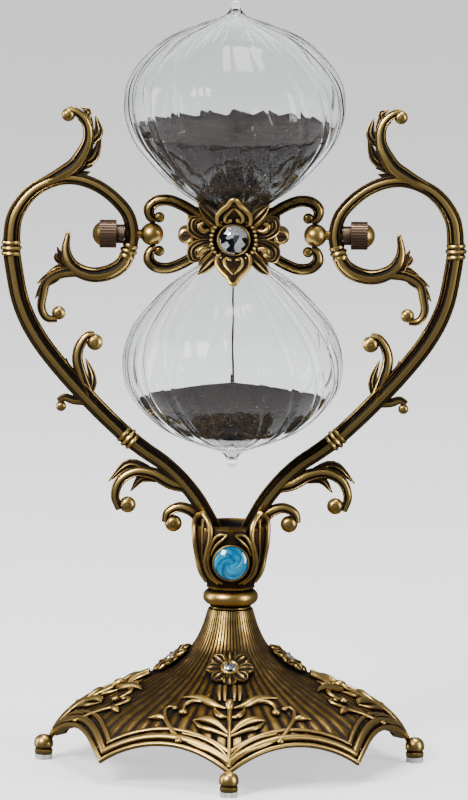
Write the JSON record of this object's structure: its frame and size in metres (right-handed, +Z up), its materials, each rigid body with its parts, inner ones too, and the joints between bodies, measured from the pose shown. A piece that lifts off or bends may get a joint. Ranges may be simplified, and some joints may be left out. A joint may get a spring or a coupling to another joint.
{
  "type": "hourglass",
  "caption": "Double-bulb hourglass with dark sand that turns between pivot screws in a heart-shaped antique bronze scroll stand on a fluted scalloped base.",
  "frame": {"origin": "centre of the footprint, on the plane that the rubber foot pads rest on", "axes": "+Z up, +X to the right of the front view along the turning axis, -Y to the front"},
  "size_m": [0.1614, 0.137, 0.2684],
  "materials": {
    "antique_bronze": "antique bronze plating, wiped back on the high spots",
    "dark_bronze": "dark bronze plating, knurled",
    "clear_glass": "clear blown glass with swirled ribs",
    "crystal": "cut crystal with a foil back",
    "cabochon": "polished swirled glass",
    "black_sand": "fine glittering black sand",
    "rubber": "soft translucent grey rubber",
    "steel": "zinc-plated"
  },
  "bodies": {
    "stand": {"base_skirt": "antique_bronze", "foot_pads": "rubber", "rosettes": "antique_bronze", "rosette_crystals": "crystal", "neck_ring": "antique_bronze", "collar_ring": "antique_bronze", "cup": "antique_bronze", "tie_bolt": "steel", "tie_washer": "steel", "front_cabochon": "cabochon", "back_cabochon": "cabochon", "left_arm_ring": "antique_bronze", "left_arm_outer": "antique_bronze", "left_arm_lower": "antique_bronze", "left_hook": "antique_bronze", "left_acanthus_scroll": "antique_bronze", "left_drop_scroll": "antique_bronze", "left_middle_scroll": "antique_bronze", "left_middle_curl": "antique_bronze", "left_branch_scroll": "antique_bronze", "left_cup_curl": "antique_bronze", "right_arm_ring": "antique_bronze", "right_arm_outer": "antique_bronze", "right_arm_lower": "antique_bronze", "right_hook": "antique_bronze", "right_acanthus_scroll": "antique_bronze", "right_drop_scroll": "antique_bronze", "right_middle_scroll": "antique_bronze", "right_middle_curl": "antique_bronze", "right_branch_scroll": "antique_bronze", "right_cup_curl": "antique_bronze"},
    "hourglass": {"glass": "clear_glass", "upper_sand": "black_sand", "lower_sand": "black_sand", "sand_stream": "black_sand", "neck_cushion": "rubber", "front_bracket": "antique_bronze", "back_bracket": "antique_bronze", "left_pivot_ball": "antique_bronze", "right_pivot_ball": "antique_bronze", "front_medallion": "antique_bronze", "back_medallion": "antique_bronze", "front_crystal": "crystal", "back_crystal": "crystal", "clamp_screws": "steel"},
    "left_screw": {"left_pivot_screw": "antique_bronze"},
    "left_knob": {"left_thumb_knob": "dark_bronze"},
    "right_screw": {"right_pivot_screw": "antique_bronze"},
    "right_knob": {"right_thumb_knob": "dark_bronze"}
  },
  "joints": [
    {"name": "hourglass_turn", "type": "hinge", "parent": "stand", "child": "hourglass", "pos_m": [0, 0, 0.1864], "axis": [1, 0, 0], "continuous": true},
    {"name": "left_screw_feed", "type": "slide", "parent": "stand", "child": "left_screw", "axis": [-1, 0, 0], "range_m": [0, 0.0015]},
    {"name": "left_knob_turn", "type": "hinge", "parent": "left_screw", "child": "left_knob", "pos_m": [-0.0438, 0, 0.1864], "axis": [-1, 0, 0], "range_deg": [0, 1080]},
    {"name": "right_screw_feed", "type": "slide", "parent": "stand", "child": "right_screw", "axis": [1, 0, 0], "range_m": [0, 0.0015]},
    {"name": "right_knob_turn", "type": "hinge", "parent": "right_screw", "child": "right_knob", "pos_m": [0.0438, 0, 0.1864], "axis": [1, 0, 0], "range_deg": [0, 1080]}
  ],
  "couplings": [
    {"joint": "left_screw_feed", "follows": "left_knob_turn", "m_per_rad": 0.000079577},
    {"joint": "right_screw_feed", "follows": "right_knob_turn", "m_per_rad": 0.000079577}
  ]
}
